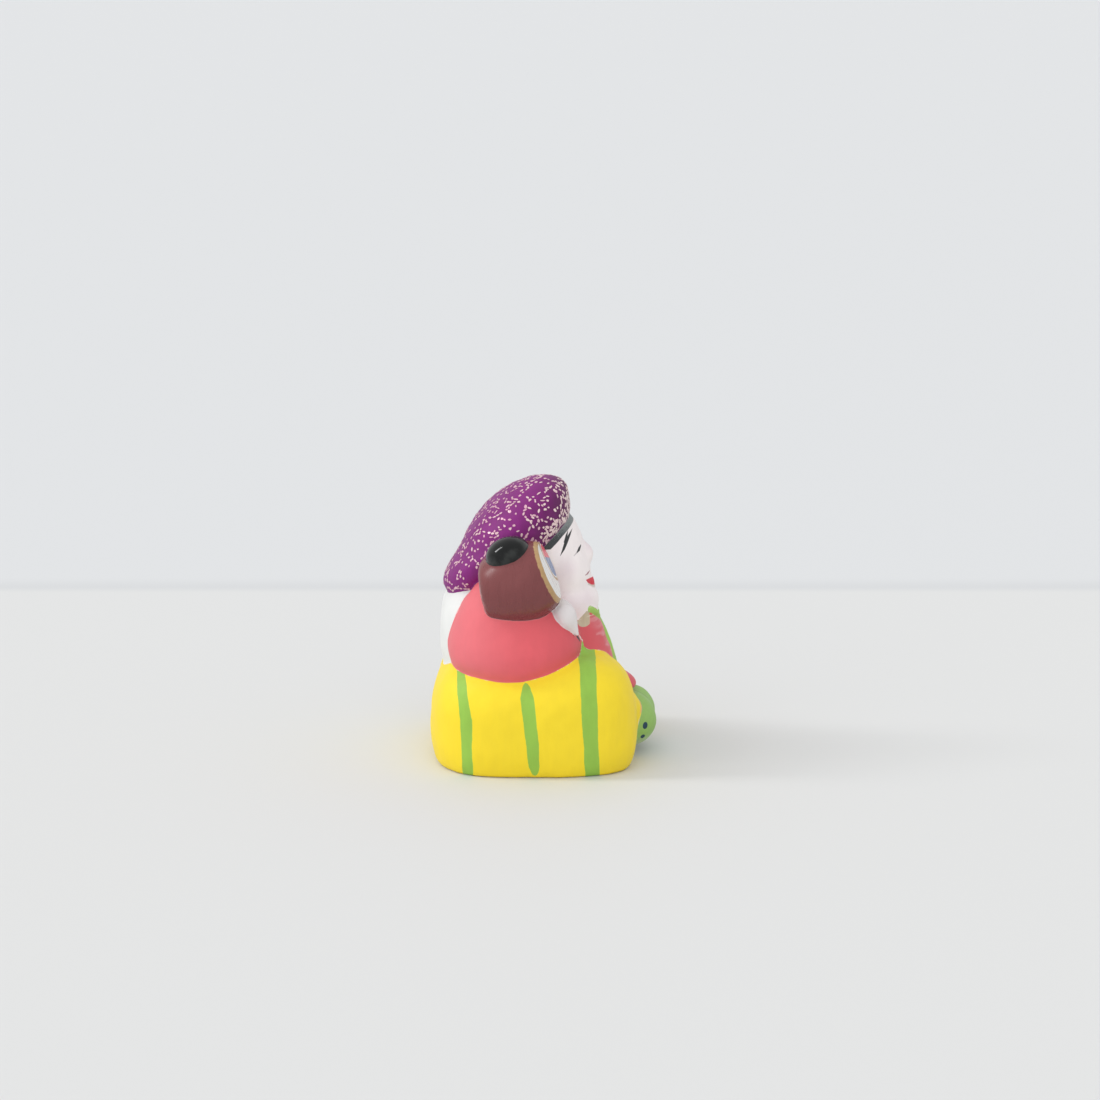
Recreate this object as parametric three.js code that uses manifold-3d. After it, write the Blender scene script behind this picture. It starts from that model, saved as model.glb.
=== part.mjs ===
// A small press-moulded clay figure of a seated lucky god with a mallet and a sack.
// It was moulded, fired and painted as one piece, so it is one closed solid on a flat foot.
// Millimetres, +Z up. The figure faces -Y, with its right hand and the mallet at -X.
import * as THREE from "three";
import { mergeVertices } from "three/addons/utils/BufferGeometryUtils.js";
import Module from "manifold-3d";

const wasm = await Module();
wasm.setup();

// Driving sizes: the top of the hood, and the width of the trousers before the knees swell it
const HEIGHT = 54;
const WIDTH = 46;

// Lower body: a cushion of trousers, two knees, gathered cuffs and boots meeting in front
const TROUSERS = { at: [0, 4, 8], radii: [WIDTH / 2, 18, 14.5], plan: 3 };
const SEAT = { towards: [0, 0.913, 0.408], distance: 25.35 }; // plane that rounds off the seat
const RIGHT_KNEE = {
  at: [-10.8, -5.5, 8.5],
  radii: [11.6, 12.4, 13],
  turn: [-4, 0, 0],
  plan: 2.5,
  rise: 2.8,
};
const LEFT_KNEE = { at: [11.4, -3.4, 7], radii: [11.2, 11.8, 11.3], plan: 2.4, rise: 2.6 };
const TUCK = [
  { at: [-10.6, -6.8, 21], radius: 1.9 },
  { at: [-10.6, -7.1, 23.2], radius: 0.7 },
];
const RIGHT_CUFF = { at: [-6.6, -13.1, 9], radii: [4.4, 5.8, 5.7] };
const LEFT_CUFF = { at: [6.8, -12.6, 7.4], radii: [4.4, 5.2, 4.8] };
const RIGHT_BOOT = { at: [-3.1, -16.1, 6.6], radii: [6, 5.85, 5.3], turn: [0, 0, 4] };

// Coat: belly, chest, the hem over the lap and the raised collar band
const BELLY = { at: [0, -4.3, 16.6], radii: [12.5, 9.4, 11.4] };
const CHEST = { at: [0, -3, 24.6], radii: [9, 8.3, 5.6] };
const THROAT = { at: [0, -6.1, 27.2], radii: [7.5, 4.4, 3] };
const LAP_HEM = { at: [0, -12.4, 14.2], radii: [7, 5.75, 2.1], turn: [12, 0, 0] };
const COLLAR_RADIUS = 1;
const COLLAR_SIDE = [
  [-6.6, -7.2, 29.4],
  [-6, -8.4, 29.1],
  [-4.3, -9.6, 28.1],
  [-2.4, -10.05, 27],
  [0, -10.2, 25.8],
  [0.8, -9.6, 24.9],
];
const COLLAR_FRONT = [
  [0, -9.2, 27],
  [0, -10.25, 25.9],
  [0, -11.25, 23.9],
  [0, -12.05, 21.7],
  [0, -12.8, 19.3],
  [0, -13.4, 16.4],
  [0, -12.8, 14],
];

// Sleeves: the right one raised under the mallet, the left one bent to the sack's neck
const SLEEVE_PLAN = 2.2;
const RIGHT_SLEEVE = {
  at: [-9.5, 5.4, 23.6],
  radii: [12.2, 12.75, 9.1],
  turn: [-2.5, -8, 0],
  plan: SLEEVE_PLAN,
  rise: 2,
};
const RIGHT_ARM = { at: [-12, 7, 29.5], radii: [7.5, 8.5, 8], turn: [-20, 0, 0] };
const LEFT_SLEEVE = {
  at: [9.5, 3, 23.5],
  radii: [12, 12, 9],
  turn: [0, 8, 0],
  plan: SLEEVE_PLAN,
  rise: 2,
};
const LEFT_ARM = { at: [10.6, -1, 26.6], radii: [6.4, 7.4, 5.8], turn: [-10, 0, 0] };

// Hands: the right one shows as a narrow leaf below the mallet, the left one is a fist
const RIGHT_PALM = { at: [-13.6, -3.9, 29.7], radii: [3.2, 2.3, 3.4], turn: [-26, 0, 0] };
const RIGHT_FINGERS = { at: [-15.2, -4.2, 30.1], radius: 2.15 };
const RIGHT_FINGERTIPS = { at: [-14.9, -6.5, 26.15], radius: 0.3 };
const FINGERS_FLAT = 1.9; // how many times as broad as thick
const LEFT_HAND = { at: [11, -7.2, 29.2], radii: [3.1, 2.4, 2.9] };
const FINGERS = 4;
const FINGER = { at: [10.2, -8.7, 31], radii: [2.3, 1, 0.75] };
const FINGER_STEP = [0.2, -0.1, -1.2];

// Sack on the back, its neck drawn over the left shoulder
const SACK = { at: [1, 11.2, 23.8], radii: [15.5, 8.9, 11.7], plan: 2.2, rise: 2.5 };
const SACK_NECK = [
  { at: [8.5, 9.5, 30.5], radius: 6 },
  { at: [13.2, 2.5, 31.4], radius: 4.1 },
  { at: [11.4, -6, 30.4], radius: 2.4 },
  { at: [10.2, -8.6, 26.2], radius: 1.9 },
];

// Head
const SKULL = { at: [0, 0.9, 38.9], radii: [9.6, 8.8, 10.4] };
const NAPE = { at: [0, 4.5, 33.5], radii: [10.5, 8, 6.5] };
const JAW = { at: [0, -3.3, 29.65], radii: [9.3, 7.45, 4.5], plan: 2.05, rise: 2.4 };
const FACE = { at: [0, -4.6, 35.2], radii: [7.6, 4.5, 5.2] };
const NOSE = { at: [0, -7.35, 38.8], radii: [1.5, 2.3, 2.2], turn: [-25, 0, 0] };
const LIPS = { at: [0, -8.9, 32.9], radii: [2, 0.9, 1.5] };
const EAR = { at: [-9.3, 1.6, 37], radii: [1.3, 1.9, 3.1] };
const EAR_LOBE = { at: [-9.4, 0.8, 34], radii: [1.2, 1.3, 1.7] };

// Hood: side outline in Y and Z about its centre, rounded off to the sides
const HOOD_HALF_WIDTH = 13;
const HOOD_ROUNDING = 2.2;
const HOOD_CENTRE = [6.5, 43.2];
const HOOD_OUTLINE = [
  [-5, 49.6],
  [-3.6, 53.1],
  [1, HEIGHT],
  [7.4, 51.4],
  [12.8, 46.4],
  [16.5, 39.6],
  [19.3, 34.4],
  [17.6, 31],
  [12, 31.8],
  [5, 35.4],
  [-1.3, 40.8],
  [-4.7, 46.2],
];

// Mallet: a bulged barrel across the right shoulder, and the knob of its handle on top
const BARREL_AT = new THREE.Vector3(-15.3, 4.6, 36.4);
const BARREL_AXIS = new THREE.Vector3(-0.09, -0.919, 0.385).normalize();
const BARREL_RADIUS = 7.65;
const BARREL_FRONT = 6.4; // from its middle to the painted face
const BARREL_REAR = 7.05; // from its middle to the rear end
const BARREL_TAPER = 0.24; // share of the radius lost at each end
const BARREL_SLANT = 0.16; // how far the rear end leans back, as a slope
const BARREL_EDGE = 0.5; // worn edge
const BARREL_REAR_EDGE = 1.2;
const KNOB_RADIUS = 4.2;
const KNOB_HEIGHT = 3;
const KNOB_AT = [-2, 0.6, 6.4]; // across, along and up from the barrel's middle
const BEHIND_MALLET = { at: [-9.5, 4.5, 34.5], radii: [5, 6, 5] }; // clay left between it and the head

// How far apart neighbouring forms start to flow into each other
const SOFT_KNEE = 3;
const SOFT_SEAT = 3;
const SOFT_BOOTS = 2.2;
const SOFT_CUFF = 0.8;
const SOFT_COAT = 2;
const SOFT_SLEEVE = 4;
const SOFT_CHEEK = 3;
const SOFT_FEATURE = 1;

// A place well inside each group of flowing forms, from which all of its surface can be seen
const INSIDE_SEAT = [0, 0, 9];
const INSIDE_BOOTS = [0, -15, 6.5];
const INSIDE_COAT = [0, -5, 20];
const INSIDE_RIGHT_SLEEVE = [-10.5, 6, 26];
const INSIDE_LEFT_SLEEVE = [10, 1, 25];
const INSIDE_HEAD = [0, 0, 35.5];

// How finely each form is faceted: rings from pole to pole, or steps along a curve
const RINGS = {
  seat: 28,
  boots: 16,
  coat: 19,
  sleeve: 20,
  hand: 10,
  finger: 6,
  sack: 17,
  head: 27,
  ear: 8,
  hood: 23,
  knob: 12,
};
const SIDES_PER_RING = 1.6;
const BAND_STEPS = 8;
const BAND_SIDES = 8;
const BARREL_SIDES = 32;
const BARREL_STATIONS = 7;
const LINK_SIDES = 16;
const LINK_RINGS = 5;
const OUTLINE_STEPS = 24; // between two of the hood's outline points

const UP = new THREE.Vector3(0, 0, 1);
const SEARCH_REACH = 40; // longest ray from such a place to the surface
const SEARCH_STEP = 0.5;
const HALVINGS = 12;
const TINY = 1e-6;

// Closed geometry as a solid that can be joined and cut
function toSolid(geometry) {
  const bare = geometry.clone();
  bare.deleteAttribute("normal");
  bare.deleteAttribute("uv");
  const merged = mergeVertices(bare, 1e-4);
  return new wasm.Manifold(
    new wasm.Mesh({
      numProp: 3,
      vertProperties: new Float32Array(merged.attributes.position.array),
      triVerts: new Uint32Array(merged.index.array),
    }),
  );
}

// Sphere with its poles on Z, each point moved by place()
function shapedSphere(rings, place) {
  const geometry = new THREE.SphereGeometry(1, Math.round(rings * SIDES_PER_RING), rings);
  geometry.rotateX(Math.PI / 2);
  const position = geometry.attributes.position;
  const point = new THREE.Vector3();
  for (let i = 0; i < position.count; i += 1) {
    place(point.fromBufferAttribute(position, i));
    position.setXYZ(i, point.x, point.y, point.z);
  }
  return geometry;
}

// Where a form lies: turned about X, then Y, then Z, and moved
function placing({ at, turn = [0, 0, 0] }) {
  const euler = new THREE.Euler(...turn.map(THREE.MathUtils.degToRad), "ZYX");
  return new THREE.Matrix4().makeRotationFromEuler(euler).setPosition(...at);
}

// How far out a scaled point is on a superellipsoid: 1 on its surface
function reachOf(p, plan, rise) {
  const level = (Math.abs(p.x) ** plan + Math.abs(p.y) ** plan) ** (rise / plan);
  return (level + Math.abs(p.z) ** rise) ** (1 / rise);
}

// Superellipsoid: exponent plan seen from above and rise seen from the side, 2 for an ellipsoid
function blob(form, rings) {
  const { radii, plan = 2, rise = plan } = form;
  const geometry = shapedSphere(rings, (p) => {
    p.divideScalar(reachOf(p, plan, rise)).multiply(new THREE.Vector3(...radii));
  });
  return toSolid(geometry.applyMatrix4(placing(form)));
}

// Height of a point over the same superellipsoid's surface, negative inside
function heightOver(form) {
  const { radii, plan = 2, rise = plan } = form;
  const inward = placing(form).invert();
  const scale = new THREE.Vector3(...radii);
  const q = new THREE.Vector3();
  return (point) => {
    q.copy(point).applyMatrix4(inward).divide(scale);
    const reach = Math.max(reachOf(q, plan, rise), TINY);
    const flat = Math.max((Math.abs(q.x) ** plan + Math.abs(q.y) ** plan) ** (1 / plan), TINY);
    const share = (flat / reach) ** (rise - 1);
    const slope = Math.hypot(
      (share * (Math.abs(q.x) / flat) ** (plan - 1)) / scale.x,
      (share * (Math.abs(q.y) / flat) ** (plan - 1)) / scale.y,
      (Math.abs(q.z) / reach) ** (rise - 1) / scale.z,
    );
    return (reach - 1) / Math.max(slope, TINY);
  };
}

// Height of a point over a plane
function heightOverPlane({ towards, distance }) {
  const normal = new THREE.Vector3(...towards);
  return (point) => normal.dot(point) - distance;
}

// The same form on the other side of the centre plane
function opposite(form) {
  const [x, y, z] = form.at;
  const [aboutX, aboutY, aboutZ] = form.turn;
  return { ...form, at: [-x, y, z], turn: [aboutX, -aboutY, -aboutZ] };
}

// Two heights that flow into each other where they differ by less than softness
function flow(a, b, softness) {
  return (point) => {
    const first = a(point);
    const second = b(point);
    const t = THREE.MathUtils.clamp(0.5 + (second - first) / (2 * softness), 0, 1);
    return THREE.MathUtils.lerp(second, first, t) - softness * t * (1 - t);
  };
}

// The higher of two heights, rounded where they cross
function trim(a, b, softness) {
  const joined = flow(
    (point) => -a(point),
    (point) => -b(point),
    softness,
  );
  return (point) => -joined(point);
}

// Solid whose surface is where height is zero, found along rays from a centre inside it
function wrapped(centre, height, rings) {
  const origin = new THREE.Vector3(...centre);
  const probe = new THREE.Vector3();
  const inside = (ray, distance) => height(probe.copy(origin).addScaledVector(ray, distance)) < 0;
  const geometry = shapedSphere(rings, (p) => {
    const ray = p.clone().normalize();
    let near = SEARCH_REACH;
    while (near > SEARCH_STEP && !inside(ray, near)) near -= SEARCH_STEP;
    let far = near + SEARCH_STEP;
    for (let i = 0; i < HALVINGS; i += 1) {
      const middle = (near + far) / 2;
      if (inside(ray, middle)) near = middle;
      else far = middle;
    }
    p.copy(origin).addScaledVector(ray, near);
  });
  return toSolid(geometry);
}

// Body with a closed side outline in Y and Z that rounds off to the sides
function lens(outline, centre, halfWidth, rounding, rings) {
  const curve = new THREE.CatmullRomCurve3(
    outline.map(([y, z]) => new THREE.Vector3(0, y - centre[0], z - centre[1])),
    true,
    "catmullrom",
    0.5,
  );
  const edge = curve.getPoints(outline.length * OUTLINE_STEPS);
  const radiusAt = (y, z) => {
    const along = (e) => (e.y * y + e.z * z) / Math.hypot(e.y, e.z);
    return edge.reduce((best, e) => (along(e) > along(best) ? e : best)).length();
  };
  const geometry = shapedSphere(rings, (p) => {
    const around = Math.max(Math.hypot(p.x, p.y), TINY);
    const reach = (Math.abs(p.z) ** rounding + around ** rounding) ** (1 / rounding);
    const radius = radiusAt(p.x, p.y) / reach;
    p.set((halfWidth * p.z) / reach, centre[0] + radius * p.x, centre[1] + radius * p.y);
  });
  return toSolid(geometry);
}

// Round band along a curve, its flat ends buried in the body
function band(points, radius) {
  const path = new THREE.CatmullRomCurve3(points.map((p) => new THREE.Vector3(...p)));
  const section = new THREE.Shape().absarc(0, 0, radius, 0, 2 * Math.PI, false);
  const sizes = { extrudePath: path, steps: BAND_STEPS, curveSegments: BAND_SIDES / 2 };
  return toSolid(new THREE.ExtrudeGeometry(section, sizes));
}

// Turned form about an axis through a place
function turned(profile, segments, at, axis) {
  const facing = new THREE.Quaternion().setFromUnitVectors(new THREE.Vector3(0, 1, 0), axis);
  const placed = new THREE.Matrix4().makeRotationFromQuaternion(facing).setPosition(at);
  return toSolid(new THREE.LatheGeometry(profile, segments).applyMatrix4(placed));
}

// Profile points on an ellipse's arc; where it meets the axis the radius is exactly zero
function arc(radius, rise, y, first, last, steps) {
  return Array.from({ length: steps + 1 }, (_, i) => {
    const angle = THREE.MathUtils.lerp(first, last, i / steps);
    const out = radius * Math.cos(angle);
    return new THREE.Vector2(out < TINY ? 0 : out, y + rise * Math.sin(angle));
  });
}

// Tapered rod with ball ends between two places
function link(from, to) {
  const start = new THREE.Vector3(...from.at);
  const along = new THREE.Vector3(...to.at).sub(start);
  const lower = arc(from.radius, from.radius, 0, -Math.PI / 2, 0, LINK_RINGS);
  const upper = arc(to.radius, to.radius, along.length(), 0, Math.PI / 2, LINK_RINGS);
  return turned([...lower, ...upper], LINK_SIDES, start, along.normalize());
}

function fuse(solids) {
  return solids.reduce((whole, next) => whole.add(next));
}

function mirrored(solid) {
  return solid.mirror([1, 0, 0]);
}

function lowerBody() {
  const knees = flow(heightOver(RIGHT_KNEE), heightOver(LEFT_KNEE), SOFT_KNEE);
  const seat = trim(heightOver(TROUSERS), heightOverPlane(SEAT), SOFT_SEAT);
  const cuffs = flow(heightOver(RIGHT_CUFF), heightOver(LEFT_CUFF), SOFT_CUFF);
  const legs = flow(flow(seat, knees, SOFT_KNEE), cuffs, SOFT_CUFF);
  const boots = flow(heightOver(RIGHT_BOOT), heightOver(opposite(RIGHT_BOOT)), SOFT_BOOTS);
  return [
    wrapped(INSIDE_SEAT, legs, RINGS.seat),
    wrapped(INSIDE_BOOTS, boots, RINGS.boots),
    link(...TUCK),
  ];
}

function coat() {
  const body = flow(heightOver(BELLY), heightOver(CHEST), SOFT_COAT);
  const front = flow(body, heightOver(THROAT), SOFT_FEATURE);
  const side = band(COLLAR_SIDE, COLLAR_RADIUS);
  return [
    wrapped(INSIDE_COAT, flow(front, heightOver(LAP_HEM), SOFT_FEATURE), RINGS.coat),
    side,
    mirrored(side),
    band(COLLAR_FRONT, COLLAR_RADIUS),
  ];
}

function arms() {
  const right = flow(heightOver(RIGHT_SLEEVE), heightOver(RIGHT_ARM), SOFT_SLEEVE);
  const left = flow(heightOver(LEFT_SLEEVE), heightOver(LEFT_ARM), SOFT_SLEEVE);
  const fingers = Array.from({ length: FINGERS }, (_, i) =>
    blob({ ...FINGER, at: FINGER.at.map((v, k) => v + FINGER_STEP[k] * i) }, RINGS.finger),
  );
  return [
    wrapped(INSIDE_RIGHT_SLEEVE, right, RINGS.sleeve),
    wrapped(INSIDE_LEFT_SLEEVE, left, RINGS.sleeve),
    blob(RIGHT_PALM, RINGS.hand),
    rightFingers(),
    blob(LEFT_HAND, RINGS.hand),
    ...fingers,
  ];
}

// The right hand's fingers as one flat point: a rod made thick enough to be thinned afterwards
function rightFingers() {
  const root = new THREE.Vector3(...RIGHT_FINGERS.at);
  const reach = new THREE.Vector3(...RIGHT_FINGERTIPS.at).sub(root);
  const tip = { at: [reach.x * FINGERS_FLAT, reach.y, reach.z], radius: RIGHT_FINGERTIPS.radius };
  const rod = link({ at: [0, 0, 0], radius: RIGHT_FINGERS.radius }, tip);
  return rod.scale([1 / FINGERS_FLAT, 1, 1]).translate(root.toArray());
}

function sack() {
  return [blob(SACK, RINGS.sack), ...SACK_NECK.slice(1).map((to, i) => link(SACK_NECK[i], to))];
}

function head() {
  const back = flow(heightOver(SKULL), heightOver(NAPE), SOFT_CHEEK);
  const cheeks = flow(flow(back, heightOver(JAW), SOFT_CHEEK), heightOver(FACE), SOFT_COAT);
  const features = flow(heightOver(NOSE), heightOver(LIPS), SOFT_FEATURE);
  const ear = fuse([blob(EAR, RINGS.ear), blob(EAR_LOBE, RINGS.ear)]);
  return [
    wrapped(INSIDE_HEAD, flow(cheeks, features, SOFT_FEATURE), RINGS.head),
    ear,
    mirrored(ear),
    lens(HOOD_OUTLINE, HOOD_CENTRE, HOOD_HALF_WIDTH, HOOD_ROUNDING, RINGS.hood),
  ];
}

function mallet() {
  const radiusAt = (y) => BARREL_RADIUS * (1 - BARREL_TAPER * (y / BARREL_FRONT) ** 2);
  const first = BARREL_REAR_EDGE - BARREL_REAR;
  const last = BARREL_FRONT - BARREL_EDGE;
  const stations = Array.from({ length: BARREL_STATIONS }, (_, i) =>
    THREE.MathUtils.lerp(first, last, i / (BARREL_STATIONS - 1)),
  );
  const profile = [
    new THREE.Vector2(0, -BARREL_REAR),
    new THREE.Vector2(radiusAt(-BARREL_REAR) - BARREL_REAR_EDGE, -BARREL_REAR),
    ...stations.map((y) => new THREE.Vector2(radiusAt(y), y)),
    new THREE.Vector2(radiusAt(BARREL_FRONT) - BARREL_EDGE, BARREL_FRONT),
    new THREE.Vector2(0, BARREL_FRONT),
  ];
  const geometry = new THREE.LatheGeometry(profile, BARREL_SIDES);
  const position = geometry.attributes.position;
  for (let i = 0; i < position.count; i += 1) {
    const rearward = Math.max(-position.getY(i) / BARREL_REAR, 0);
    position.setY(i, position.getY(i) + BARREL_SLANT * rearward * position.getZ(i));
  }
  const handle = UP.clone().addScaledVector(BARREL_AXIS, -BARREL_AXIS.z).normalize();
  const across = new THREE.Vector3().crossVectors(BARREL_AXIS, handle);
  const placed = new THREE.Matrix4().makeBasis(across, BARREL_AXIS, handle).setPosition(BARREL_AT);
  const [side, along, up] = KNOB_AT;
  const knobAt = new THREE.Vector3(-side, along, up).applyMatrix4(placed);
  const knob = arc(KNOB_RADIUS, KNOB_HEIGHT, 0, -Math.PI / 2, Math.PI / 2, RINGS.knob);
  return [
    toSolid(geometry.applyMatrix4(placed)),
    turned(knob, LINK_SIDES, knobAt, handle),
    blob(BEHIND_MALLET, RINGS.hand),
  ];
}

// Everything below the foot is cut away, and the figure is centred over the origin
function onFoot(solid) {
  const below = new THREE.BoxGeometry(4 * WIDTH, 4 * WIDTH, HEIGHT);
  below.translate(0, 0, -HEIGHT / 2);
  const cut = solid.subtract(toSolid(below));
  const { min, max } = cut.boundingBox();
  return cut.translate([-(min[0] + max[0]) / 2, -(min[1] + max[1]) / 2, -min[2]]);
}

function toGeometry(solid) {
  const mesh = solid.getMesh();
  const geometry = new THREE.BufferGeometry();
  geometry.setAttribute("position", new THREE.BufferAttribute(mesh.vertProperties, mesh.numProp));
  geometry.setIndex(new THREE.BufferAttribute(mesh.triVerts, 1));
  geometry.computeVertexNormals();
  return geometry;
}

const forms = [...lowerBody(), ...coat(), ...arms(), ...sack(), ...head(), ...mallet()];
const figure = new THREE.Mesh(
  toGeometry(onFoot(fuse(forms))),
  new THREE.MeshStandardMaterial({ color: 0xf2cf3a, roughness: 0.6, metalness: 0 }),
);
figure.name = "clay_figure";

const group = new THREE.Group();
group.add(figure);
export default group;
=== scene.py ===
"""Looks of a small painted clay figure of a seated lucky god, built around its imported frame.

The figure's surface is one mesh. It is worked out in millimetres from the same forms as the CAD model,
flowing into each other and slightly uneven, and it is turned into metres when the mesh is made. The figure
faces -Y, and its right side, with the mallet, is at -X. Paint is kept as margins: how far, in mm, a point
lies inside a painted area's edge, so that the material draws each edge crisply wherever the points are.
"""
import math
from collections import namedtuple

import bpy
import numpy as np
from mathutils import Euler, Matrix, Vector


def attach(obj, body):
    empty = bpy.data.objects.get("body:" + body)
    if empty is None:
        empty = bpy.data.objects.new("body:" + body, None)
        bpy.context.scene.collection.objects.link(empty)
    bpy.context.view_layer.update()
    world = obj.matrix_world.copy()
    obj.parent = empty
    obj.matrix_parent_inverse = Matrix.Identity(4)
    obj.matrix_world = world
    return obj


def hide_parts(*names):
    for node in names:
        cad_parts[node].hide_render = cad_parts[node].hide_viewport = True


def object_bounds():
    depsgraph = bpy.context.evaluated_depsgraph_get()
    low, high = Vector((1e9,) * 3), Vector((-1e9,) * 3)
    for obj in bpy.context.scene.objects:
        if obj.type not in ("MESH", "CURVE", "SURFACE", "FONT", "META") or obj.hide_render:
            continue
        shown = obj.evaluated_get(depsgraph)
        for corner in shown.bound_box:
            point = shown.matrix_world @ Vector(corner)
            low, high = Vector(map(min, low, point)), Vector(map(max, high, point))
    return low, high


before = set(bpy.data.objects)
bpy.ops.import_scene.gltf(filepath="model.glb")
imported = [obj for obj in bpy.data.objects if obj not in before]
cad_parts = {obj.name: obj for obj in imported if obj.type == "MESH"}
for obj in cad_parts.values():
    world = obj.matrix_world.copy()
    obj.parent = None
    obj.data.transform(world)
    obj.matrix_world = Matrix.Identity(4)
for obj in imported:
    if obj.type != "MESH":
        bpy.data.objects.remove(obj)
cad_low, cad_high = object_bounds()

MM = 0.001
TINY = 1e-6
FAR = 99.0

# The view: the photograph's square frame, its scale at the figure, and where the foot's middle is in it
FRAME_PX = 1100
PX_PER_MM = 5.1
FOOT_PX = (543.5, 747.0)
VIEW_DISTANCE = 600.0
VIEW_ELEVATION = math.radians(12)

# Superellipsoid forms: centre, half sizes, turn in degrees about X, then Y, then Z, and how boxy they are
# in plan and in rise (2 is an ellipsoid). Forms of a pair are given for the right side and mirrored.
# Rods and paths are lists of places, with the radius there where it changes.
Form = namedtuple("Form", "at radii turn plan rise", defaults=((0, 0, 0), 2.0, None))

TROUSERS = Form((0, 4, 8), (23, 18, 14.5), plan=3)
SEAT = ((0, 0.913, 0.408), 25.35)  # plane that rounds off the seat: direction and distance
RIGHT_KNEE = Form((-10.8, -5.5, 8.5), (11.6, 12.4, 13), turn=(-4, 0, 0), plan=2.5, rise=2.8)
LEFT_KNEE = Form((11.4, -3.4, 7), (11.2, 11.8, 11.3), plan=2.4, rise=2.6)
TUCK = [((-10.6, -6.8, 21), 1.9), ((-10.6, -7.1, 23.2), 0.7)]
RIGHT_CUFF = Form((-6.6, -13.1, 9), (4.4, 5.8, 5.7))
LEFT_CUFF = Form((6.8, -12.6, 7.4), (4.4, 5.2, 4.8))
BOOT = Form((-3.1, -16.1, 6.6), (6, 5.85, 5.3), turn=(0, 0, 4))

BELLY = Form((0, -4.3, 16.6), (12.5, 9.4, 11.4))
CHEST = Form((0, -3, 24.6), (9, 8.3, 5.6))
THROAT = Form((0, -6.1, 27.2), (7.5, 4.4, 3))
LAP_HEM = Form((0, -12.4, 14.2), (7, 5.75, 2.1), turn=(12, 0, 0))
COLLAR_SIDE = [(-6.1, -8.85, 29.25), (-4.3, -10.1, 28.2), (-2.4, -10.6, 27.1), (0, -10.7, 25.9)]
COLLAR_SIDE_RADIUS = 0.4
COLLAR_FRONT = [(0, -10.65, 25.9), (0, -11.65, 23.9), (0, -12.45, 21.7), (0, -13.2, 19.3), (0, -13.9, 16.4)]
COLLAR_FRONT_RADIUS = 0.6

RIGHT_SLEEVE = Form((-9.5, 5.4, 23.6), (12.2, 12.75, 9.1), turn=(-2.5, -8, 0), plan=2.2, rise=2)
RIGHT_ARM = Form((-12, 7, 29.5), (7.5, 8.5, 8), turn=(-20, 0, 0))
LEFT_SLEEVE = Form((9.5, 3, 23.5), (12, 12, 9), turn=(0, 8, 0), plan=2.2, rise=2)
LEFT_ARM = Form((10.6, -1, 26.6), (6.4, 7.4, 5.8), turn=(-10, 0, 0))
RIGHT_PALM = Form((-13.6, -3.9, 29.7), (3.2, 2.3, 3.4), turn=(-26, 0, 0))
RIGHT_FINGERS = [((-15.2, -4.2, 30.1), 2.15), ((-14.9, -6.5, 26.15), 0.25)]
FINGERS_FLAT = 1.9  # how many times as broad as thick
FIST = Form((11, -7.2, 29.2), (3.1, 2.4, 2.9))
FINGERS = [Form((10.2 + 0.2 * i, -8.7 - 0.1 * i, 31 - 1.2 * i), (2.3, 1, 0.75)) for i in range(4)]

SACK = Form((1, 11.2, 23.8), (15.5, 8.9, 11.7), plan=2.2, rise=2.5)
SACK_NECK = [
    ((8.5, 9.5, 30.5), 6),
    ((13.2, 2.5, 31.4), 4.1),
    ((11.4, -6, 30.4), 2.4),
    ((10.2, -8.6, 26.2), 1.9),
]

SKULL = Form((0, 0.9, 38.9), (9.6, 8.8, 10.4))
NAPE = Form((0, 4.5, 33.5), (10.5, 8, 6.5))
JAW = Form((0, -3.3, 29.65), (9.3, 7.45, 4.5), plan=2.05, rise=2.4)
FACE = Form((0, -4.6, 35.2), (7.6, 4.5, 5.2))
NOSE = Form((0, -7.35, 38.8), (1.5, 2.3, 2.2), turn=(-25, 0, 0))
LIPS = Form((0, -8.9, 32.9), (2, 0.9, 1.5))
EAR = Form((-9.3, 1.6, 37), (1.3, 1.9, 3.1))
EAR_LOBE = Form((-9.4, 0.8, 34), (1.2, 1.3, 1.7))

# The hood's side outline, in Y and Z, about its centre, and how it rounds off to the sides
HOOD_CENTRE = (6.5, 43.2)
HOOD_HALF_WIDTH = 13.0
HOOD_ROUNDING = 2.2
HOOD_OUTLINE = [
    (-5, 49.6), (-3.6, 53.1), (1, 54), (7.4, 51.4), (12.8, 46.4), (16.5, 39.6),
    (19.3, 34.4), (17.6, 31), (12, 31.8), (5, 35.4), (-1.3, 40.8), (-4.7, 46.2),
]

# The mallet: a bulged barrel with its far end over the shoulder, and the knob of its handle on top
BARREL_AT = Vector((-15.3, 4.6, 36.4))
BARREL_AXIS = Vector((-0.09, -0.919, 0.385)).normalized()
BARREL_UP = (Vector((0, 0, 1)) - BARREL_AXIS * BARREL_AXIS.z).normalized()
BARREL_ACROSS = BARREL_UP.cross(BARREL_AXIS)
BARREL_RADIUS = 7.65
BARREL_HALF = 6.4
BARREL_REAR = 7.05  # from its middle to the rear end
BARREL_TAPER = 0.24
BARREL_SLANT = 0.16  # how far the rear end leans back, as a slope
BARREL_EDGE = 0.5
BARREL_REAR_EDGE = 1.2
KNOB_AT = (-2.0, 6.4, 0.6)  # across, up and along
KNOB_RADIUS = 4.2
KNOB_HEIGHT = 3.0

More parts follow.
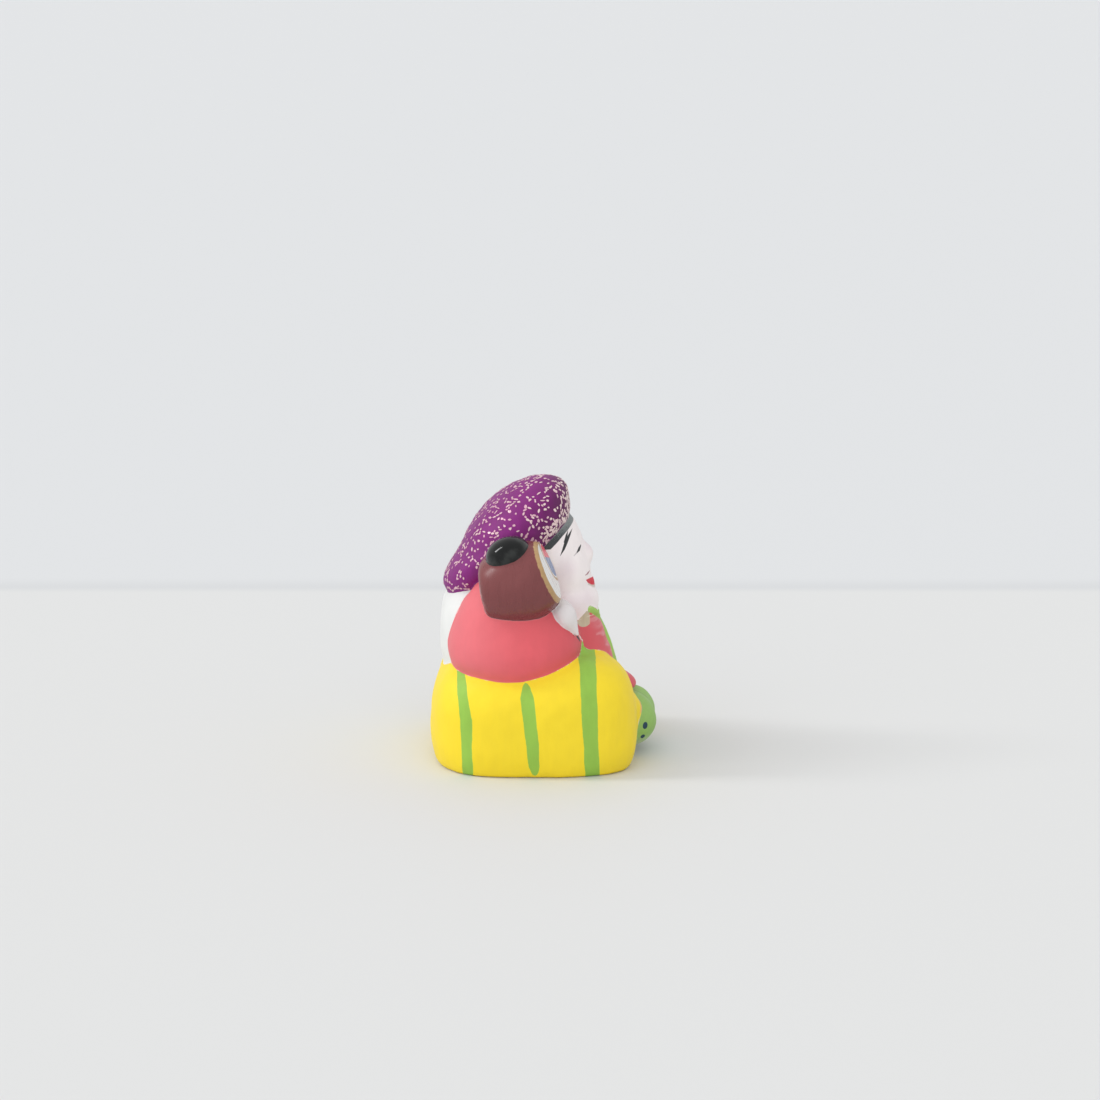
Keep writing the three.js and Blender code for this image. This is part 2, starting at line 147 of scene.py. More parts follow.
# How softly forms of one part flow into each other
SOFT_KNEE = 3
SOFT_SEAT = 3.0
SOFT_CUFF = 0.8
SOFT_TUCK = 1.2
SOFT_BOOTS = 2.2
SOFT_CHEST = 2
SOFT_THROAT = 1
SOFT_HEM = 1.2
SOFT_RIGHT_ARM = 4
SOFT_LEFT_ARM = 3
SOFT_SACK = 3
SOFT_SACK_NECK = 1
SOFT_CHEEK = 3
SOFT_FACE = 2
SOFT_NOSE = 1.2
SOFT_LIPS = 0.8
SOFT_LOBE = 0.8
SOFT_EAR = 0.5
SOFT_PALM = 0.6
SOFT_FINGER = 0.3

# Unevenness of the clay: heights and wavelengths of a broad and a fine relief
BROAD_RELIEF = 0.07
BROAD_WAVE = 9
FINE_RELIEF = 0.03
FINE_WAVE = 3.2

# Mesh size: the spacing of the grid that the surface is drawn from
GRID = 0.36
BLOCK = 4  # grid steps to a block, which is skipped where the surface is far from it
BLOCK_REACH = 3.0
MARGIN = 1.5
BATCHES = 8
SLOPE_STEP = 0.02


# Heights over forms, in mm and negative inside. Points are the rows of an array.

def smooth_min(a, b, softness):
    """Lower of two heights, flowing into each other where they differ by less than softness."""
    t = np.clip(0.5 + 0.5 * (b - a) / softness, 0, 1)
    return b + (a - b) * t - softness * t * (1 - t)


def smooth_max(a, b, softness):
    return -smooth_min(-a, -b, softness)


def mirrored(p):
    """Points folded onto the figure's right side."""
    return np.column_stack([-np.abs(p[:, 0]), p[:, 1], p[:, 2]])


def over(p, form):
    """Height over a superellipsoid."""
    turned = np.array(Euler([math.radians(a) for a in form.turn]).to_matrix(), p.dtype)
    scale = np.array(form.radii, p.dtype)
    plan = form.plan
    rise = form.rise or plan
    q = np.abs((p - np.array(form.at, p.dtype)) @ turned) / scale
    flat = np.maximum((q[:, 0] ** plan + q[:, 1] ** plan) ** (1 / plan), TINY)
    reach = np.maximum((flat**rise + q[:, 2] ** rise) ** (1 / rise), TINY)
    share = (flat / reach) ** (rise - 1)
    across = share * (q[:, 0] / flat) ** (plan - 1) / scale[0]
    along = share * (q[:, 1] / flat) ** (plan - 1) / scale[1]
    up = (q[:, 2] / reach) ** (rise - 1) / scale[2]
    return (reach - 1) / np.maximum(np.sqrt(across**2 + along**2 + up**2), TINY)


def over_link(p, a, b, radius_a, radius_b):
    """Height over a tapered rod with ball ends."""
    a = np.array(a, p.dtype)
    along = np.array(b, p.dtype) - a
    t = np.clip((p - a) @ along / (along @ along), 0, 1)
    return np.linalg.norm(p - a - t[:, None] * along, axis=1) - radius_a - (radius_b - radius_a) * t


def over_hand(p):
    """Height over the right hand: the palm, and the fingers as one flat point."""
    (a, radius_a), (b, radius_b) = RIGHT_FINGERS
    flat = np.array((FINGERS_FLAT, 1, 1), p.dtype)
    q = (p - np.array(a, p.dtype)) * flat
    along = (np.array(b, p.dtype) - np.array(a, p.dtype)) * flat
    t = np.clip(q @ along / (along @ along), 0, 1)
    out = q - t[:, None] * along
    reach = np.maximum(np.linalg.norm(out, axis=1), TINY)
    slope = np.linalg.norm(out / reach[:, None] * flat, axis=1)
    fingers = (reach - radius_a - (radius_b - radius_a) * t) / slope
    return smooth_min(fingers, over(p, RIGHT_PALM), SOFT_PALM)


def over_path(p, points):
    """Distance to a path of straight runs."""
    runs = [over_link(p, a, b, 0, 0) for a, b in zip(points, points[1:])]
    return np.minimum.reduce(runs)


def closed_outline(points, centre, steps=24, samples=720):
    """Radius by angle about the centre of a smooth closed curve through the points, and its slope."""
    knots = np.array(points, float)
    a, b, c, d = (np.roll(knots, k, 0)[:, None] for k in (1, 0, -1, -2))
    t = np.arange(steps)[None, :, None] / steps
    bend = (2 * a - 5 * b + 4 * c - d) * t**2
    curve = 0.5 * (2 * b + (c - a) * t + bend + (3 * b - a - 3 * c + d) * t**3)
    y, z = (curve.reshape(-1, 2) - centre).T
    angle = np.arctan2(z, y)
    order = np.argsort(angle)
    angles = np.linspace(-np.pi, np.pi, samples + 1)
    radius = np.interp(angles, angle[order], np.hypot(y, z)[order], period=2 * np.pi)
    return angles, radius, np.gradient(radius, angles)


HOOD_CURVE = closed_outline(HOOD_OUTLINE, HOOD_CENTRE)


def over_hood(p):
    """Height over the hood: its side outline, rounded off to the sides."""
    angles, radii, slopes = HOOD_CURVE
    y = p[:, 1] - HOOD_CENTRE[0]
    z = p[:, 2] - HOOD_CENTRE[1]
    angle = np.arctan2(z, y)
    radius = np.interp(angle, angles, radii)
    slope = np.interp(angle, angles, slopes)
    inner = np.maximum(np.hypot(y, z) / radius, TINY)
    side = np.abs(p[:, 0]) / HOOD_HALF_WIDTH
    reach = (side**HOOD_ROUNDING + inner**HOOD_ROUNDING) ** (1 / HOOD_ROUNDING)
    across = (side / reach) ** (HOOD_ROUNDING - 1) / HOOD_HALF_WIDTH
    around = (inner / reach) ** (HOOD_ROUNDING - 1) * np.hypot(1, slope / radius) / radius
    return (reach - 1) / np.maximum(np.hypot(across, around), TINY)


def barrel_places(p):
    """Places in the mallet's own frame: across, up, and along its axis towards its painted face."""
    axes = np.array([BARREL_ACROSS, BARREL_UP, BARREL_AXIS], p.dtype)
    return (p - np.array(BARREL_AT, p.dtype)) @ axes.T


def over_barrel(p):
    """Height over the mallet's head, with worn edges and a slanting rear end."""
    q = barrel_places(p)
    radius = BARREL_RADIUS * (1 - BARREL_TAPER * (q[:, 2] / BARREL_HALF) ** 2)
    edge = np.where(q[:, 2] < 0, BARREL_REAR_EDGE, BARREL_EDGE)
    out = np.hypot(q[:, 0], q[:, 1]) - radius + edge
    along = np.maximum(q[:, 2] - BARREL_HALF, BARREL_SLANT * q[:, 1] - q[:, 2] - BARREL_REAR) + edge
    return np.minimum(np.maximum(out, along), 0) + np.hypot(np.maximum(out, 0), np.maximum(along, 0)) - edge


def over_knob(p):
    """Height over the flattened knob on the mallet."""
    radii = np.array((KNOB_RADIUS, KNOB_HEIGHT, KNOB_RADIUS), p.dtype)
    q = (barrel_places(p) - np.array(KNOB_AT, p.dtype)) / radii
    reach = np.maximum(np.linalg.norm(q, axis=1), TINY)
    slope = np.linalg.norm(q / reach[:, None] / radii, axis=1)
    return (reach - 1) / slope


def over_trousers(p):
    (a, radius_a), (b, radius_b) = TUCK
    knees = smooth_min(over(p, RIGHT_KNEE), over(p, LEFT_KNEE), SOFT_KNEE)
    cuffs = np.minimum(over(p, RIGHT_CUFF), over(p, LEFT_CUFF))
    towards, distance = SEAT
    seat = smooth_max(over(p, TROUSERS), p @ np.array(towards, p.dtype) - distance, SOFT_SEAT)
    legs = smooth_min(smooth_min(seat, knees, SOFT_KNEE), cuffs, SOFT_CUFF)
    return smooth_min(legs, over_link(p, a, b, radius_a, radius_b), SOFT_TUCK)


def over_boots(p):
    other = p * np.array((-1, 1, 1), p.dtype)
    return smooth_min(over(p, BOOT), over(other, BOOT), SOFT_BOOTS)


def over_coat(p):
    body = smooth_min(over(p, BELLY), over(p, CHEST), SOFT_CHEST)
    return smooth_min(smooth_min(body, over(p, THROAT), SOFT_THROAT), over(p, LAP_HEM), SOFT_HEM)


def over_collar(p):
    sides = over_path(mirrored(p), COLLAR_SIDE) - COLLAR_SIDE_RADIUS
    return np.minimum(sides, over_path(p, COLLAR_FRONT) - COLLAR_FRONT_RADIUS)


def over_sack(p):
    neck = FAR
    for (a, radius_a), (b, radius_b) in zip(SACK_NECK, SACK_NECK[1:]):
        neck = smooth_min(over_link(p, a, b, radius_a, radius_b), neck, SOFT_SACK_NECK)
    return smooth_min(over(p, SACK), neck, SOFT_SACK)


def over_sleeve(p, sleeve, arm, softness):
    return smooth_min(over(p, sleeve), over(p, arm), softness)


def over_skin(p):
    head = smooth_min(smooth_min(over(p, SKULL), over(p, JAW), SOFT_CHEEK), over(p, NAPE), SOFT_CHEEK)
    head = smooth_min(head, over(p, FACE), SOFT_FACE)
    head = smooth_min(head, over(p, NOSE), SOFT_NOSE)
    head = smooth_min(head, over(p, LIPS), SOFT_LIPS)
    ear = smooth_min(over(mirrored(p), EAR), over(mirrored(p), EAR_LOBE), SOFT_LOBE)
    return smooth_min(head, ear, SOFT_EAR)


def over_fist(p):
    fist = over(p, FIST)
    for finger in FINGERS:
        fist = smooth_min(fist, over(p, finger), SOFT_FINGER)
    return fist


# Each modelled part, with how softly it joins what is already there
PARTS = {
    "trousers": (over_trousers, 0.6),
    "boots": (over_boots, 0.5),
    "coat": (over_coat, 0.8),
    "collar": (over_collar, 0.4),
    "sack": (over_sack, 1.0),
    "right_sleeve": (lambda p: over_sleeve(p, RIGHT_SLEEVE, RIGHT_ARM, SOFT_RIGHT_ARM), 0.8),
    "left_sleeve": (lambda p: over_sleeve(p, LEFT_SLEEVE, LEFT_ARM, SOFT_LEFT_ARM), 0.8),
    "skin": (over_skin, 0.8),
    "hood": (over_hood, 0.6),
    "hand": (over_hand, 0.3),
    "fist": (over_fist, 0.3),
    "mallet": (over_barrel, 0.5),
    "knob": (over_knob, 0.4),
}
FOOT_SOFTNESS = 0.6


def ripple(p, wavelength, seed, waves=9):
    """Smooth random relief between about -1 and 1."""
    rng = np.random.default_rng(seed)
    heading = rng.normal(size=(waves, 3))
    heading *= (2 * np.pi / wavelength) / np.linalg.norm(heading, axis=1)[:, None]
    phase = rng.uniform(0, 2 * np.pi, waves)
    return np.sin(p @ heading.T.astype(p.dtype) + phase.astype(p.dtype)).sum(1) / math.sqrt(waves)


def relief(p):
    """Unevenness of clay pressed by hand, as a height."""
    return BROAD_RELIEF * ripple(p, BROAD_WAVE, seed=1) + FINE_RELIEF * ripple(p, FINE_WAVE, seed=2)


def heights(p):
    """Height of each part over its own surface, by name."""
    return {name: over_part(p) for name, (over_part, softness) in PARTS.items()}


def whole(p):
    """Height over the whole figure, cut flat at the foot."""
    total = None
    for over_part, softness in PARTS.values():
        part = over_part(p)
        total = part if total is None else smooth_min(total, part, softness)
    return smooth_max(total + relief(p), -p[:, 2], FOOT_SOFTNESS)


def downhill(p, height):
    """Outward direction of a height at each point."""
    corners = np.array([(1, 1, 1), (1, -1, -1), (-1, 1, -1), (-1, -1, 1)], float)
    slope = sum(height(p + SLOPE_STEP * c)[:, None] * c for c in corners)
    return slope / np.maximum(np.linalg.norm(slope, axis=1), TINY)[:, None]


def settled(p, height, rounds=4):
    """Points moved straight onto a surface."""
    for _ in range(rounds):
        p = p - height(p)[:, None] * downhill(p, height)
    return p


# From heights to a mesh

def sampled(height, low, counts):
    """Heights on a grid, worked out only in blocks that may hold some of the surface."""
    blocks = [np.arange(n) for n in counts]
    corner = np.stack(np.meshgrid(*blocks, indexing="ij"), -1).reshape(-1, 3) * BLOCK
    middle = low + (corner + (BLOCK - 1) / 2) * GRID
    rough = height(middle.astype(np.float32))
    within = np.stack(np.meshgrid(*[np.arange(BLOCK)] * 3, indexing="ij"), -1).reshape(-1, 3)
    field = np.repeat(np.where(rough < 0, -FAR, FAR)[:, None], BLOCK**3, 1).astype(np.float32)
    near = np.flatnonzero(np.abs(rough) < BLOCK_REACH)
    places = (corner[near, None] + within).reshape(-1, 3)
    for part in np.array_split(np.arange(len(places)), BATCHES):
        rows = near[part // BLOCK**3]
        field[rows, part % BLOCK**3] = height((low + places[part] * GRID).astype(np.float32))
    field = field.reshape(*counts, BLOCK, BLOCK, BLOCK).transpose(0, 3, 1, 4, 2, 5)
    return field.reshape([n * BLOCK for n in counts])


def net(field):
    """Vertices, in grid steps, and quads of the surface where a sampled field is zero.

    Each grid edge that crosses the surface makes a quad between the four cells around it, and a cell's
    vertex is the mean of the crossings on its edges.
    """
    cells = np.array(field.shape)
    inside = field < 0
    total = np.zeros((cells.prod(), 3))
    crossings = np.zeros(cells.prod())
    quads = []
    for axis in range(3):
        first = np.take(inside, range(cells[axis] - 1), axis)
        second = np.take(inside, range(1, cells[axis]), axis)
        edge = np.argwhere(first != second)
        step = np.eye(3, dtype=int)[axis]
        a = field[tuple(edge.T)]
        b = field[tuple((edge + step).T)]
        place = edge + (a / (a - b))[:, None] * step
        side, other = (np.eye(3, dtype=int)[(axis + k) % 3] for k in (1, 2))
        around = [edge, edge - side, edge - side - other, edge - other]
        ring = np.stack([np.ravel_multi_index(tuple(c.T), cells) for c in around], 1)
        for corner in ring.T:
            crossings += np.bincount(corner, minlength=len(crossings))
            for k in range(3):
                total[:, k] += np.bincount(corner, place[:, k], len(crossings))
        quads.append(np.where(inside[tuple(edge.T)][:, None], ring, ring[:, ::-1]))
    used = np.flatnonzero(crossings)
    renumber = np.zeros(len(crossings), int)
    renumber[used] = np.arange(len(used))
    return total[used] / crossings[used, None], renumber[np.concatenate(quads)]


def figure_surface():
    """Vertices, in mm, and quads of the whole figure."""
    low = np.array(cad_low) / MM - MARGIN
    span = (np.array(cad_high) / MM + MARGIN - low) / (GRID * BLOCK)
    field = sampled(whole, low, np.ceil(span).astype(int))
    vertices, quads = net(field)
    vertices = settled(low + vertices * GRID, whole)
    vertices[:, 2] = np.maximum(vertices[:, 2], 0)
    return vertices, quads


# Paint margins

STRIPES = [  # heights, then the middle and the half width there, along Y
    ([0, 0.5, 11.3, 19.5, 21.5], [14.3, 14.3, 14.55, 15.7, 16], [0.9, 0.97, 1.15, 0.75, 0.6]),
    (
        [0.3, 0.9, 2.5, 7, 15.7, 17.6, 18.5],
        [1.6, 1.6, 1.7, 2, 3, 3.2, 3.3],
        [-0.3, 0.55, 1.05, 1.22, 1.27, 0.7, -0.1],
    ),
    ([0, 0.7, 11.6, 22.5, 24.5], [-9.3, -9.3, -8.75, -8.35, -7.9], [1.35, 1.35, 1.4, 1.62, 1.2]),
]
COLLAR_SIDE_PAINT = 0.7
COLLAR_FRONT_PAINT = 1.15
HAIR_WIDTH = 1.2
HAIR_FROM = 41.5

# The painted areas, from the undermost to the last one painted. An area's edge is where the nearest of the
# parts from it on takes over from the nearest of those before it.
LAYERS = [
    ("trousers", ["trousers"]),
    ("coat", ["coat", "collar", "right_sleeve", "left_sleeve"]),
    ("sack", ["sack"]),
    ("boots", ["boots"]),
    ("skin", ["skin"]),
    ("fist", ["fist"]),
    ("hand", ["hand"]),
    ("hood", ["hood"]),
    ("mallet", ["mallet"]),
    ("knob", ["knob"]),
]


def stripes(p):
    """Margin of the trousers' stripes, the same on both sides."""
    best = np.full(len(p), -FAR)
    for levels, middles, halves in STRIPES:
        middle = np.interp(p[:, 2], levels, middles)
        half = np.interp(p[:, 2], levels, halves)
        best = np.maximum(best, half - np.abs(p[:, 1] - middle))
    return best


def paint_margins(p):
    """How far inside each painted area a point lies, in mm, by the area's name."""
    part = heights(p)
    levels = [np.minimum.reduce([part[name] for name in parts]) for _, parts in LAYERS]
    margins = {}
    for k in range(1, len(LAYERS)):
        name = LAYERS[k][0]
        margins[name] = np.minimum.reduce(levels[:k]) - np.minimum.reduce(levels[k:])
    nearest = np.sort(levels, 0)
    margins["seam"] = nearest[1] - nearest[0]
    side = COLLAR_SIDE_PAINT - over_path(mirrored(p), COLLAR_SIDE)
    margins["collar"] = np.maximum(side, COLLAR_FRONT_PAINT - over_path(p, COLLAR_FRONT))
    margins["hair"] = np.minimum(HAIR_WIDTH - part["hood"], p[:, 2] - HAIR_FROM)
    margins["stripes"] = stripes(p)
    return margins


def make_mesh(name, vertices, faces):
    mesh = bpy.data.meshes.new(name)
    mesh.from_pydata((vertices * MM).tolist(), [], faces)
    piece = bpy.data.objects.new(name, mesh)
    bpy.context.scene.collection.objects.link(piece)
    return piece


def make_figure():
    """The figure, with its paint margins as attributes."""
    vertices, quads = figure_surface()
    margins = paint_margins(vertices)
    figure = make_mesh("painted_figure", vertices, quads.tolist())
    figure.data.shade_smooth()
    for name, values in margins.items():
        attribute = figure.data.attributes.new(name, "FLOAT", "POINT")
        attribute.data.foreach_set("value", values.astype(np.float32))
    places = figure.data.attributes.new("barrel", "FLOAT_VECTOR", "POINT")
    places.data.foreach_set("vector", barrel_places(vertices).astype(np.float32).ravel())
    return figure, vertices, margins


# Gold flakes on the hood

FLAKE_TRIES = 1150
FLAKE_OVER = 0.08
FLAKE_UNDER = 0.06
FLAKE_SPACE = 0.35
FLAKE_LENGTHS = 0.4, 1.0
FLAKE_WIDTHS = 0.28, 0.56
RUN_SHARES = [0.5, 0.26, 0.14, 0.1]  # of runs of one flake, of two, and so on
FLAKE_APART = 0.8
BRIM_APART = 0.45
BRIM_GROWTH = 0.55  # how much larger the flakes are along the front brim
BRIM_BEHIND = 5  # flakes crowd towards the brim from this Y forwards
BRIM_LENGTH = 9  # over this length
BRIM_DEPTH = 2.2  # and within about this depth of the hood's edge


def towards_brim(p):
    """1 at the hood's front brim, 0 on its rear half."""
    return np.clip((BRIM_BEHIND - p[:, 1]) / BRIM_LENGTH, 0, 1)


def flake_starts(vertices, margin, rng):
    """Where runs of flakes start: evenly over the hood, and closest together along its front brim."""
    on_hood = np.flatnonzero(margin > FLAKE_SPACE)
    p = vertices[on_hood]
    brim = towards_brim(p) * np.exp(-margin[on_hood] / BRIM_DEPTH)
    chance = 0.2 + 0.7 * np.clip(ripple(p, 5, seed=5), 0, None) + 3 * brim
    apart = FLAKE_APART + (BRIM_APART - FLAKE_APART) * brim
    chosen = []
    for k in rng.choice(len(p), FLAKE_TRIES, replace=False, p=chance / chance.sum()):
        if not chosen or np.linalg.norm(p[chosen] - p[k], axis=1).min() > apart[k]:
            chosen.append(k)
    return p[chosen], brim[chosen]


def flake_places(starts, brim, rng):
    """Each flake's place, heading, length and width. A run of flakes follows a small arc from its start."""
    outward = downhill(starts, whole)
    flakes = []
    for start, normal, growth in zip(starts, outward, 1 + BRIM_GROWTH * brim):
        heading = np.cross(normal, rng.normal(size=3))
        heading /= np.linalg.norm(heading)
        bend = rng.uniform(-0.9, 0.9)
        place = start
        for _ in range(rng.choice([1, 2, 3, 4], p=RUN_SHARES)):
            length = rng.uniform(*FLAKE_LENGTHS) * growth
            width = rng.uniform(*FLAKE_WIDTHS) * growth
            flakes.append((place, normal, heading, length, width))
            place = place + heading * (length + rng.uniform(-0.05, 0.15))
            across = np.cross(normal, heading)
            heading = heading * math.cos(bend) + across * math.sin(bend)
    return flakes


def flake_ring(place, normal, heading, length, width, rng):
    """Corners of one flake, an uneven chip, before it is laid on the hood."""
    across = np.cross(normal, heading)
    count = rng.integers(6, 9)
    angles = (np.arange(count) + rng.uniform(-0.25, 0.25, count)) * 2 * np.pi / count
    stretch = rng.uniform(0.75, 1.2, count)
    out = np.outer(np.cos(angles) * stretch * length / 2, heading)
    return place + out + np.outer(np.sin(angles) * stretch * width / 2, across)


def make_flakes(vertices, margins):
    """All the flakes, as thin closed chips bedded in the hood's paint."""
    rng = np.random.default_rng(11)
    starts, brim = flake_starts(vertices, np.minimum(margins["hood"], -margins["mallet"]), rng)
    rings = [flake_ring(*flake, rng) for flake in flake_places(starts, brim, rng)]
    corners = settled(np.concatenate(rings), whole)
    inside = paint_margins(corners)
    kept = np.minimum(inside["hood"], -inside["mallet"]) > 0
    outward = downhill(corners, whole)
    brim = towards_brim(corners)
    points = []
    faces = []
    tones = []
    first = 0
    for ring in rings:
        rows = slice(first, first + len(ring))
        first += len(ring)
        if not kept[rows].all():
            continue
        n = len(ring)
        base = len(points)
        top = corners[rows] + FLAKE_OVER * outward[rows]
        bottom = corners[rows] - FLAKE_UNDER * outward[rows]
        points.extend([*top, *bottom])
        faces.append([base + i for i in range(n)])
        faces.append([base + n + i for i in reversed(range(n))])
        faces.extend([base + n + i, base + n + (i + 1) % n, base + (i + 1) % n, base + i] for i in range(n))
        tones.extend([0.5 * rng.uniform(0, 1) + 0.5 * brim[rows].mean()] * (n + 2))
    flakes = make_mesh("hood_flakes", np.array(points), faces)
    attribute = flakes.data.attributes.new("tone", "FLOAT", "FACE")
    attribute.data.foreach_set("value", tones)
    return flakes


# Materials

class Term:
    """A value made by a material's nodes, so that sums of values read as sums."""

    def __init__(self, paint, socket):
        self.paint = paint
        self.socket = socket

    def __add__(self, other):
        return self.paint.maths("ADD", self, other)

    def __sub__(self, other):
        return self.paint.maths("SUBTRACT", self, other)

    def __rsub__(self, other):
        return self.paint.maths("SUBTRACT", other, self)

    def __mul__(self, other):
        return self.paint.maths("MULTIPLY", self, other)

    __radd__ = __add__
    __rmul__ = __mul__


SHINE = 0.3  # how strongly paint mirrors its surroundings, where 0.5 is usual for a glossy varnish


class Paint:
    """A material and short ways to add nodes to it."""

    def __init__(self, name, fixed):
        self.material = bpy.data.materials.new(name)
        self.material.use_nodes = True
        self.tree = self.material.node_tree
        self.shader = self.tree.nodes["Principled BSDF"]
        for socket, value in fixed.items():
            self.shader.inputs[socket].default_value = value

    def add(self, kind, **settings):
        node = self.tree.nodes.new(kind)
        for key, value in settings.items():
            setattr(node, key, value)
        return node

    def feed(self, socket, value):
        if isinstance(value, Term):
            self.tree.links.new(value.socket, socket)
        else:
            socket.default_value = value

    def maths(self, operation, *values, clamp=False):
        node = self.add("ShaderNodeMath", operation=operation, use_clamp=clamp)
        for socket, value in zip(node.inputs, values):
            self.feed(socket, value)
        return Term(self, node.outputs[0])

    def vector(self, operation, *values, output="Vector"):
        node = self.add("ShaderNodeVectorMath", operation=operation)
        for socket, value in zip(node.inputs, values):
            self.feed(socket, value)
        return Term(self, node.outputs[output])

    def step(self, value, low, high):
        """0 below low, 1 above high, and smooth between."""
        node = self.add("ShaderNodeMapRange", interpolation_type="SMOOTHSTEP")
        for name, given in (("Value", value), ("From Min", low), ("From Max", high)):
            self.feed(node.inputs[name], given)
        return Term(self, node.outputs["Result"])

    def mix(self, factor, a, b):
        node = self.add("ShaderNodeMix", data_type="RGBA")
        sockets = {socket.identifier: socket for socket in node.inputs}
        for name, given in (("Factor_Float", factor), ("A_Color", a), ("B_Color", b)):
            self.feed(sockets[name], given)
        return Term(self, next(s for s in node.outputs if s.identifier == "Result_Color"))

    def blend(self, factor, a, b):
        """Number between a and b."""
        node = self.add("ShaderNodeMix", data_type="FLOAT")
        sockets = {socket.identifier: socket for socket in node.inputs}
        for name, given in (("Factor_Float", factor), ("A_Float", a), ("B_Float", b)):
            self.feed(sockets[name], given)
        return Term(self, next(s for s in node.outputs if s.identifier == "Result_Float"))

    def noise(self, place, scale, detail=2.0, stretch=(1, 1, 1)):
        """Random value between 0 and 1, changing scale times per mm and finer along a stretched axis."""
        node = self.add("ShaderNodeTexNoise")
        self.feed(node.inputs["Vector"], self.vector("MULTIPLY", place, stretch))
        self.feed(node.inputs["Scale"], scale)
        self.feed(node.inputs["Detail"], detail)
        return Term(self, node.outputs["Fac"])

    def attribute(self, name, output="Fac"):
        node = self.add("ShaderNodeAttribute", attribute_name=name)
        return Term(self, node.outputs[output])

    def place(self):
        """The point's place in mm."""
        node = self.add("ShaderNodeTexCoord")
        return self.vector("MULTIPLY", Term(self, node.outputs["Object"]), (1 / MM,) * 3)

    def parts(self, vector):
        node = self.add("ShaderNodeSeparateXYZ")
        self.feed(node.inputs[0], vector)
        return [Term(self, socket) for socket in node.outputs]

    def folded(self, place):
        """The place folded onto the figure's right side, for paint that is the same on both."""
        x, y, z = self.parts(place)
        node = self.add("ShaderNodeCombineXYZ")
        for socket, value in zip(node.inputs, (0 - self.maths("ABSOLUTE", x), y, z)):
            self.feed(socket, value)
        return Term(self, node.outputs[0])

    def stroke(self, place, *knots):
        """Margin of a brush stroke through points, each with the stroke's half width there."""
        best = None
        for (a, wide_a), (b, wide_b) in zip(knots, knots[1:]):
            along = Vector(b) - Vector(a)
            out = self.vector("SUBTRACT", place, a)
            t = self.vector("DOT_PRODUCT", out, along / along.length_squared, output="Value")
            t = self.maths("MULTIPLY", t, 1, clamp=True)
            node = self.add("ShaderNodeVectorMath", operation="SCALE")
            node.inputs[0].default_value = along
            self.feed(node.inputs["Scale"], t)
            off = self.vector("SUBTRACT", out, Term(self, node.outputs[0]))
            margin = t * (wide_b - wide_a) + wide_a - self.vector("LENGTH", off, output="Value")
            best = margin if best is None else self.maths("MAXIMUM", best, margin)
        return best

    def spot(self, place, centre, radii):
        """1 in the middle of an oval spot, 0 at its edge and negative outside."""
        out = self.vector("DIVIDE", self.vector("SUBTRACT", place, centre), radii)
        return 1 - self.vector("LENGTH", out, output="Value")


def srgb(red, green, blue):
    """Colour from 0 to 255 as the shader's linear one."""
    levels = [c / 255 for c in (red, green, blue)]
    return [c / 12.92 if c <= 0.04045 else ((c + 0.055) / 1.055) ** 2.4 for c in levels] + [1]


YELLOW = srgb(243, 215, 44)
LEAF_GREEN = srgb(146, 190, 76)
COLLAR_GREEN = srgb(158, 196, 100)
BOOT_GREEN = srgb(146, 186, 100)
BOOT_SHADE = srgb(84, 116, 62)
DEEP_BLUE = srgb(38, 66, 84)
RED = srgb(222, 96, 104)
# pale red for dry brushing and for the coat's painted light; the deeper red is its painted shade
PALE_RED = srgb(226, 158, 164)
PAINTED_SHADE_RED = srgb(192, 76, 86)
WHITE = srgb(224, 225, 223)
UNDERCOAT = srgb(232, 222, 214)
SKIN = srgb(244, 236, 236)
# lilac pink for the face's blush and its painted shade
BLUSH_AND_SHADE = srgb(212, 190, 200)
INK = srgb(52, 55, 56)
FADED_INK = srgb(120, 116, 120)
LIP_RED = srgb(208, 50, 66)
LIP_SHADE = srgb(190, 176, 162)
SMILE = srgb(150, 92, 102)
# dark grey of the hair band, also used for the painted shade in the fold below the right hand
HAIR_AND_GAP_SHADE = srgb(64, 68, 70)
HAIR_WORN = srgb(128, 134, 134)
NECK = srgb(196, 182, 158)
HAND_WHITE = srgb(222, 217, 218)
PURPLE = srgb(126, 32, 116)
# deep purple for the hood's painted shade and for its darker brush marks
DEEP_PURPLE = srgb(80, 18, 70)
MALLET_BROWN = srgb(121, 66, 67)
WORN_BROWN = srgb(196, 150, 150)
RIM_GOLD = srgb(178, 146, 104)
PATCH_RED = srgb(226, 92, 108)
PATCH_BLUE = srgb(122, 142, 176)
BLACK = srgb(14, 16, 16)
# grey for painted reflections on the black knob
KNOB_SHEEN_GREY = srgb(92, 96, 94)
FLAKE_DULL = srgb(208, 150, 176)
FLAKE_BRIGHT = srgb(244, 230, 220)
FLAKE_ROSE = srgb(216, 176, 180)
BARE_CLAY = srgb(214, 196, 176)
PEACH = srgb(230, 160, 120)

BOOT_DOTS = [  # centre and half sizes
    ((-8, -19.7, 6.5), (1, 0.58, 0.8)),
    ((-7.7, -19.3, 4.1), (1, 0.58, 0.58)),
    ((-2.4, -21.2, 5.6), (0.5, 0.9, 0.55)),
]

# Dry streaks on the chest: from and to
COAT_STREAKS = [((-6, -10.3, 24.2), (-2.3, -12.1, 23.6)), ((-4.4, -12, 21.7), (-2.4, -12.7, 21.3))]

# Oval spots: centre and half sizes
UNDER_CHIN = (0, -10.3, 28.6), (5, 2, 2)
BARE_NECK = (-7, -7.85, 27.5), (3, 1.75, 1.6)
COAT_CORNER = (-5.9, -9.2, 28.35), (0.9, 0.4, 0.5)
NECK_FRONT = -8.96  # Y where the bare neck ends
NECK_SLANT = 20.78  # sum of Y and Z along the jaw's lower edge

